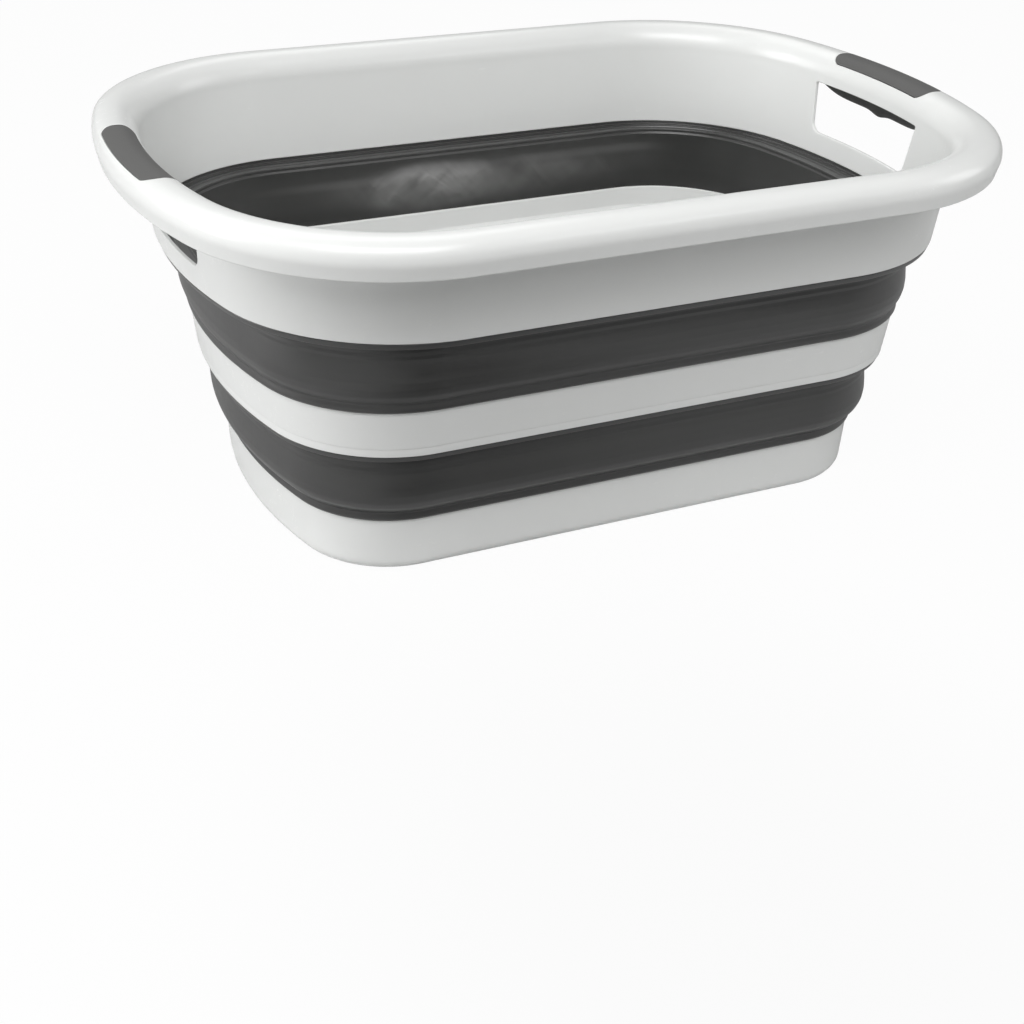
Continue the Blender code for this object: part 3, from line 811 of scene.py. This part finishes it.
def recess_patch(side):
    """Skin round and under a grip pad: from the frame in the roll's grid to the recess's edge,
    down its wall, and over its floor to one point."""
    y = np.arange(-PAD_COLUMNS, PAD_COLUMNS + 1) * COLUMN_WIDTH
    outer_frame, steps = frame_loop(y, roll_angles[PAD_LOW_ROW:PAD_HIGH_ROW + 1])
    rims = [pad_loop(PAD_GAP + PAD_GAP * (1 - math.sin(angle)), steps) for angle in COARSE_TURN]
    wide = [outer_frame + (rims[0] - outer_frame) * share for share in APPROACH]
    floor = [TOP_OF_ROLL + (rims[-1] - TOP_OF_ROLL) * share for share in FLOOR_SHARES]
    loops = np.array(wide + rims + [rims[-1]] + floor)
    depths = np.concatenate([
        np.zeros(len(wide)),
        PAD_GAP * (1 - np.cos(COARSE_TURN)),
        np.full(1 + len(floor), PAD_THICKNESS + PAD_GAP),
    ])
    points = on_roll(side, loops[..., 0], loops[..., 1], depths[:, None])
    return points, grid_faces(len(loops), loops.shape[1], False, True), steps


wall_heights = np.linspace(FOOT + FIRST_ROW_RISE, ROLL, WALL_ROWS + 1)
roll_angles = np.linspace(0, math.pi, ROLL_ROWS + 1)
under_angles = np.linspace(math.pi, 0, UNDER_ROWS + 1)
lip_turn = np.linspace(0, math.pi, LIP_ROWS + 1)
lip_round = SHELL_WALL / 2
face_share = np.arange(1, FACE_ROWS) / FACE_ROWS
outer_foot = wall_inset(FOOT, 0)
inner_foot = wall_inset(FOOT, SHELL_WALL)
shell_inset = np.concatenate([
    wall_inset(wall_heights, SHELL_WALL),
    roll_point(roll_angles, 0)[0][1:],
    FACE_LEAN * face_share,
    FACE_LEAN + lip_round * (1 - np.cos(lip_turn)),
    roll_point(under_angles, SHELL_WALL)[0],
    wall_inset(wall_heights, 0)[-2::-1],
    outer_foot + FOOT_ROUND * (1 - np.cos(COARSE_TURN)),
    inner_foot - FOOT_ROUND * (1 - np.cos(COARSE_TURN[::-1])),
])
shell_height = np.concatenate([
    wall_heights,
    roll_point(roll_angles, 0)[1][1:],
    ROLL + FACE_RISE + (LIP + lip_round - ROLL - FACE_RISE) * face_share,
    LIP + lip_round * (1 - np.sin(lip_turn)),
    roll_point(under_angles, SHELL_WALL)[1],
    wall_heights[-2::-1],
    FOOT + FOOT_ROUND * (1 - np.sin(COARSE_TURN)),
    FOOT + FOOT_ROUND * (1 - np.sin(COARSE_TURN[::-1])),
])
shell_faces = grid_faces(len(shell_inset), ROUND, True, True)
outer_wall_row = WALL_ROWS + ROLL_ROWS + FACE_ROWS - 1 + LIP_ROWS + 1 + UNDER_ROWS + 1
kept = np.ones(shell_faces.shape[:2], bool)
for middle_column in (0, ROUND // 2):
    window_at = (middle_column + np.arange(-WINDOW_COLUMNS, WINDOW_COLUMNS)) % ROUND
    pad_at = (middle_column + np.arange(-PAD_COLUMNS, PAD_COLUMNS)) % ROUND
    inner_rows = np.arange(WINDOW_LOW_ROW, WINDOW_HIGH_ROW)
    outer_rows = outer_wall_row + WALL_ROWS - np.arange(WINDOW_LOW_ROW + 1, WINDOW_HIGH_ROW + 1)
    kept[np.ix_(inner_rows, window_at)] = False
    kept[np.ix_(outer_rows, window_at)] = False
    kept[np.ix_(WALL_ROWS + np.arange(PAD_LOW_ROW, PAD_HIGH_ROW), pad_at)] = False
shell_blocks = [(carry_round(np.stack([shell_inset, shell_height], axis=1)), shell_faces[kept])]
for side in (-1, 1):
    shell_blocks.append(window_patch(side))
    recess_points, recess_faces, pad_steps = recess_patch(side)
    shell_blocks.append((recess_points, recess_faces))
upper_shell = make_piece("rim_shell_moulding", shell_blocks, SHELL_WHITE)
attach(upper_shell, "upper")
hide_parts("upper_shell")


# Grip pads. Mid-grey soft inlays, moulded into the recesses in the top of the rim and flush
# with it, with an eased edge and the matt, finely pebbled skin that keeps a wet hand from slipping.

PAD_EASE = 0.4 * MM
PAD_PROUD = 0.08 * MM
PAD_TOP_SHARES = np.linspace(0, 0.97, 15)
PAD_UNDER_SHARES = (1, 0.6, 0.2, 0)


def grip_pad_surface(side):
    """A pad from the middle of its top outwards, round its eased edge, down its side and back
    to the middle underneath."""
    edges = [pad_loop(-PAD_EASE * (1 - math.sin(angle)), pad_steps) for angle in FINE_TURN]
    top = [TOP_OF_ROLL + (edges[0] - TOP_OF_ROLL) * share for share in PAD_TOP_SHARES]
    under = [TOP_OF_ROLL + (edges[-1] - TOP_OF_ROLL) * share for share in PAD_UNDER_SHARES]
    loops = np.array(top + edges + under)
    depths = np.concatenate([
        np.full(len(top), -PAD_PROUD),
        PAD_EASE * (1 - np.cos(FINE_TURN)) - PAD_PROUD,
        np.full(len(under), PAD_THICKNESS),
    ])
    points = on_roll(side, loops[..., 0], loops[..., 1], depths[:, None])
    return points, grid_faces(len(loops), loops.shape[1], False, True)


def matt_elastomer(name, dark, pale, rough):
    """Matt grey elastomer: fine pebbles from the tool's spark-eroded face over a faint cloud."""
    material, tree, shader = start_material(name, {"IOR": 1.5, "Specular IOR Level": 0.4})
    skin = put(tree, "ShaderNodeGroup", {
        "Peel": 0.015, "Unevenness": 0.05, "Scuff depth": 0.005, "Scuff amount": 0.5,
    }, node_tree=MOULDED_SKIN)
    pebbles = noise(tree, 1500, 2)
    tint = math_node(tree, "MULTIPLY", skin.outputs["Cloud"], 0.5)
    tint = math_node(tree, "MULTIPLY_ADD", pebbles, 0.5, tint)
    tree.links.new(mix_colour(tree, tint, dark, pale), shader.inputs["Base Color"])
    gloss = math_node(tree, "MULTIPLY_ADD", skin.outputs["Cloud"], 0.12, rough - 0.06)
    tree.links.new(gloss, shader.inputs["Roughness"])
    bend_normal(tree, shader, math_node(tree, "MULTIPLY_ADD", pebbles, 0.035, skin.outputs["Height"]))
    return material


PAD_GREY = matt_elastomer("Grip pad", (0.085, 0.085, 0.083, 1), (0.125, 0.125, 0.122, 1), 0.58)
for prefix, side in (("left", -1), ("right", 1)):
    pad = make_piece(prefix + "_pad_inlay", [grip_pad_surface(side)], PAD_GREY)
    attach(pad, "upper")
    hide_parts(prefix + "_grip_pad")


# Grip liners. Dark soft troughs tucked up inside the roll above each window, so that the hand
# holds a closed handle; the lower edge hangs through the window's top with a small bump in its
# middle and thins out towards both ends.

LINER_LENGTH = 126 * MM
LINER_WALL = 1.8 * MM
LINER_HANG = 9.5 * MM
LINER_END_HANG = 2 * MM
LINER_BUMP = 2.5 * MM
LINER_BUMP_LENGTH = 24 * MM
LINER_KEEL = 20.5 * MM
LINER_TUCK = math.radians(30)
LINER_COLUMNS = 84
KEEL_ROWS = 28
TUCK_ROWS = 6
LINER_NEAR = SHELL_WALL + FACE_LEAN + PAD_GAP


def liner_points(side):
    """Closed section of the trough at each y along it, outer skin and back along the inner one.

    The keel is two quarter ellipses that meet at its lowest line; it hangs lower by a bell in
    the middle and rises with the sixth power of the distance towards the ends.
    """
    y = np.linspace(-LINER_LENGTH / 2, LINER_LENGTH / 2, LINER_COLUMNS + 1)[None, :]
    along = np.abs(y) / (LINER_LENGTH / 2)
    hang = LINER_END_HANG + (LINER_HANG - LINER_END_HANG) * (1 - along ** 6)
    hang = hang + LINER_BUMP * np.exp(-(4 * y / LINER_BUMP_LENGTH) ** 2 / 2)
    turn = np.linspace(0, math.pi, KEEL_ROWS + 1)[:, None]
    tuck = np.linspace(LINER_TUCK, 0, TUCK_ROWS)[:, None]
    skins = []
    for depth in (LINER_NEAR, LINER_NEAR + LINER_WALL):
        reach = np.where(turn < math.pi / 2, ROLL_WIDTH - depth - LINER_KEEL, LINER_KEEL - depth)
        drop = hang + LINER_NEAR - depth
        first = [part + 0 * y for part in roll_point(tuck, depth)]
        last = [part + 0 * y for part in roll_point(math.pi - tuck[::-1], depth)]
        keel = [LINER_KEEL + reach * np.cos(turn) + 0 * y, WINDOW_TOP - drop * np.sin(turn)]
        skins.append([np.vstack(rows) for rows in zip(first, keel, last)])
    inset = np.vstack([skins[0][0], skins[1][0][::-1]])
    height = np.vstack([skins[0][1], skins[1][1][::-1]])
    return np.stack([side * end_x(inset, y), y + 0 * inset, height], axis=-1)


def liner_faces(rows):
    """Skin of the trough, closed round its section, and the strips that close its two ends."""
    columns = LINER_COLUMNS + 1
    around = grid_faces(rows, columns, True, False).reshape(-1, 4)
    half = rows // 2
    step = np.arange(half - 1)
    caps = []
    for column in (0, columns - 1):
        corners = np.stack([step, step + 1, rows - 2 - step, rows - 1 - step], axis=1)
        caps.append(corners * columns + column)
    return np.vstack([around] + caps)


LINER_DARK = matt_elastomer("Grip liner", (0.030, 0.030, 0.029, 1), (0.045, 0.045, 0.043, 1), 0.5)
for prefix, side in (("left", -1), ("right", 1)):
    trough = liner_points(side)
    liner = make_piece(prefix + "_liner_trough", [(trough, liner_faces(len(trough)))], LINER_DARK)
    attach(liner, "upper")
    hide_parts(prefix + "_grip_liner")


# Studio: a white sweep under the tub, soft lamps and the camera of the photograph.

FLOOR_HALF = 20.0
FLOOR_DROP = 0.1 * MM
WHITE_SHARE = 0.96
SKY_FILL = 0.03
SKY_GLOSS = 0.35
FRONT_PLACE = (-0.12, -0.5, 0)
FRONT_REACH = (0.38, 0.5, 1)
FRONT_SHADE = (0.03, 0.03, 0.03, 1)
SWEEP_SHADE = (0.7, 0.7, 0.7, 1)
TUB_MIDDLE = (0, 0, 0.15)
LAMPS = [
    ("High front softbox", (-0.545, -1.069, 2.228), TUB_MIDDLE, 2.0, 1.0, 31),
    ("Front softbox", (-0.77, -1.512, 1.847), TUB_MIDDLE, 2.0, 1.0, 16),
    ("Low front softbox", (-0.378, -2.142, 1.164), TUB_MIDDLE, 1.6, 0.8, 1),
    ("Left softbox", (-2.157, 0.785, 0.852), TUB_MIDDLE, 1.4, 1.2, 32),
    ("Right softbox", (2.128, -0.651, 1.049), TUB_MIDDLE, 1.2, 1.2, 10),
    ("Back softbox", (0.268, 1.519, 1.989), TUB_MIDDLE, 1.6, 1.2, 9),
    ("Key strip", (0.95, -1.68, 1.2), (0, -0.21, 0.25), 0.4, 0.12, 1.5),
    ("Left strip", (-1.37, -0.46, 1.84), (-0.2, -0.19, 0.25), 0.3, 0.12, 0.6),
]
CAMERA_PLACE = (-0.5125, -1.0086, 0.5798)
CAMERA_YAW = math.radians(-26.19)
CAMERA_PITCH = math.radians(29.56)
CAMERA_ROLL = math.radians(2.02)
FOCAL_PIXELS = 1685.5
FRAME_PIXELS = 1024
SENSOR = 36
NEAREST = 0.01


def plain_floor():
    """Pale floor, grey in front of the sweep. A camera ray sees mostly plain white and a share
    of the lit surface, so the object's shadow stays on it; every other ray sees the surface."""
    constants = {"Roughness": 0.9, "Specular IOR Level": 0.1}
    material, tree, shader = start_material("Studio floor", constants)
    front = near_place(tree, FRONT_PLACE, FRONT_REACH)
    shade = mix_colour(tree, front, SWEEP_SHADE, FRONT_SHADE)
    tree.links.new(shade, shader.inputs["Base Color"])
    glow = put(tree, "ShaderNodeEmission", {"Color": (1, 1, 1, 1), "Strength": 1.0})
    seen = put(tree, "ShaderNodeLightPath").outputs["Is Camera Ray"]
    share = math_node(tree, "MULTIPLY", seen, WHITE_SHARE)
    mixed = tree.nodes.new("ShaderNodeMixShader")
    tree.links.new(share, mixed.inputs[0])
    tree.links.new(shader.outputs[0], mixed.inputs[1])
    tree.links.new(glow.outputs[0], mixed.inputs[2])
    tree.links.new(mixed.outputs[0], tree.nodes["Material Output"].inputs["Surface"])
    return material


floor_mesh = bpy.data.meshes.new("studio_floor")
floor_corners = [(-1, -1), (1, -1), (1, 1), (-1, 1)]
floor_points = [(x * FLOOR_HALF, y * FLOOR_HALF, -FLOOR_DROP) for x, y in floor_corners]
floor_mesh.from_pydata(floor_points, [], [(0, 1, 2, 3)])
floor_mesh.materials.append(plain_floor())
studio_floor = bpy.data.objects.new("studio_floor", floor_mesh)
bpy.context.scene.collection.objects.link(studio_floor)

world = bpy.data.worlds.new("Studio")
bpy.context.scene.world = world
world.use_nodes = True
sky = world.node_tree
background = sky.nodes["Background"]
path = put(sky, "ShaderNodeLightPath").outputs
background.inputs["Color"].default_value = (1, 1, 1, 1)
strength = math_node(sky, "MULTIPLY", path["Is Glossy Ray"], SKY_GLOSS)
strength = math_node(sky, "MAXIMUM", strength, SKY_FILL)
strength = math_node(sky, "MAXIMUM", path["Is Camera Ray"], strength)
sky.links.new(strength, background.inputs["Strength"])


def soft_lamp(name, place, aim, width, height, power):
    """Rectangular soft lamp that faces the point it is aimed at."""
    data = bpy.data.lights.new(name, "AREA")
    data.shape = "RECTANGLE"
    data.size = width
    data.size_y = height
    data.energy = power
    lamp = bpy.data.objects.new(name, data)
    bpy.context.scene.collection.objects.link(lamp)
    turn = (Vector(aim) - Vector(place)).to_track_quat("-Z", "Y").to_matrix().to_4x4()
    turn.translation = Vector(place)
    lamp.matrix_world = turn
    return lamp


for lamp in LAMPS:
    soft_lamp(*lamp)

ahead = Vector((
    -math.sin(CAMERA_YAW) * math.cos(CAMERA_PITCH),
    math.cos(CAMERA_YAW) * math.cos(CAMERA_PITCH),
    -math.sin(CAMERA_PITCH),
))
level = Vector((math.cos(CAMERA_YAW), math.sin(CAMERA_YAW), 0))
upright = level.cross(ahead)
camera_x = math.cos(CAMERA_ROLL) * level + math.sin(CAMERA_ROLL) * upright
camera_y = -math.sin(CAMERA_ROLL) * level + math.cos(CAMERA_ROLL) * upright
lens = bpy.data.cameras.new("Camera")
lens.sensor_width = SENSOR
lens.lens = FOCAL_PIXELS / FRAME_PIXELS * SENSOR
lens.clip_start = NEAREST
camera = bpy.data.objects.new("Camera", lens)
bpy.context.scene.collection.objects.link(camera)
camera.matrix_world = Matrix((camera_x, camera_y, -ahead)).transposed().to_4x4()
camera.matrix_world.translation = Vector(CAMERA_PLACE)
bpy.context.scene.camera = camera
bpy.context.scene.view_settings.view_transform = "Standard"
